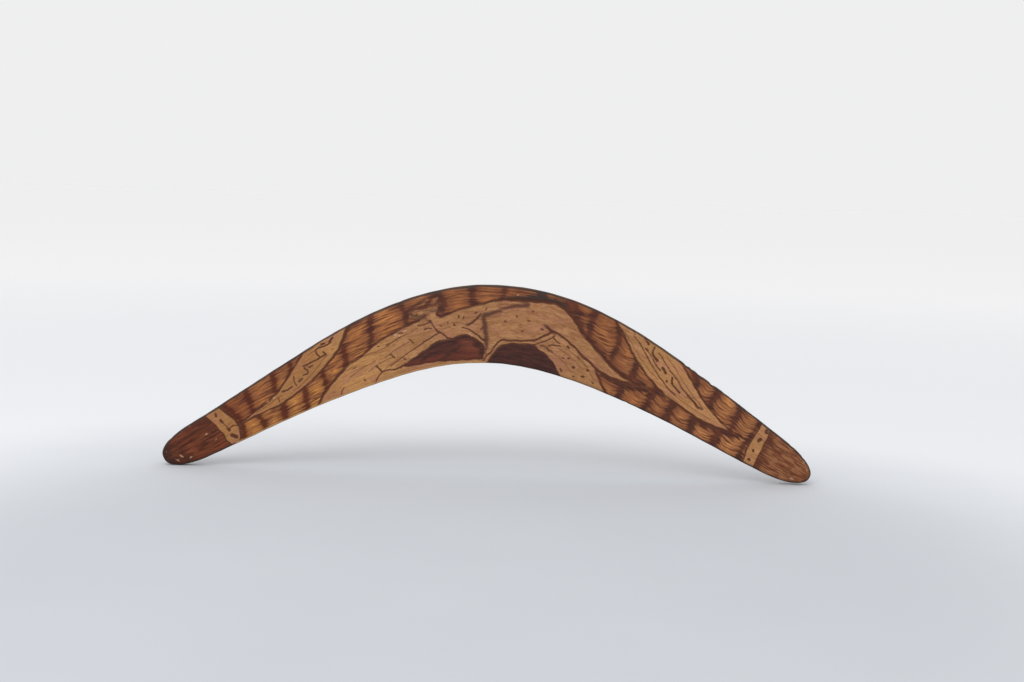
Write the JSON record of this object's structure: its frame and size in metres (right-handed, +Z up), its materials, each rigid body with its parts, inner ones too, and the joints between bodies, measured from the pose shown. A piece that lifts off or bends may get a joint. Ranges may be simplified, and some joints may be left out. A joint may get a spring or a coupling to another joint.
{
  "type": "throwing boomerang",
  "caption": "Flat two-armed wooden throwing boomerang, laminated from thin plies, with a scorched and engraved decorated face.",
  "frame": {"origin": "centre of the elbow on the flat back face", "axes": "+X along the span from the left tip to the right tip as the decorated face is seen, +Z up with the elbow at the top, +Y out of the flat back; the decorated face looks along -Y"},
  "size_m": [0.4206, 0.007, 0.1236],
  "materials": {
    "decorated_face": "scorched brown with tan reserves, satin varnish",
    "edge_stained_ply": "dark stained edge, satin varnish",
    "core_wood": "dark stained edge, satin varnish",
    "varnished_back": "plain brown veneer, thin satin varnish"
  },
  "bodies": {
    "root": {"face_veneer": "decorated_face", "front_crossband": "edge_stained_ply", "core_ply": "core_wood", "back_crossband": "edge_stained_ply", "back_veneer": "varnished_back"}
  },
  "joints": []
}
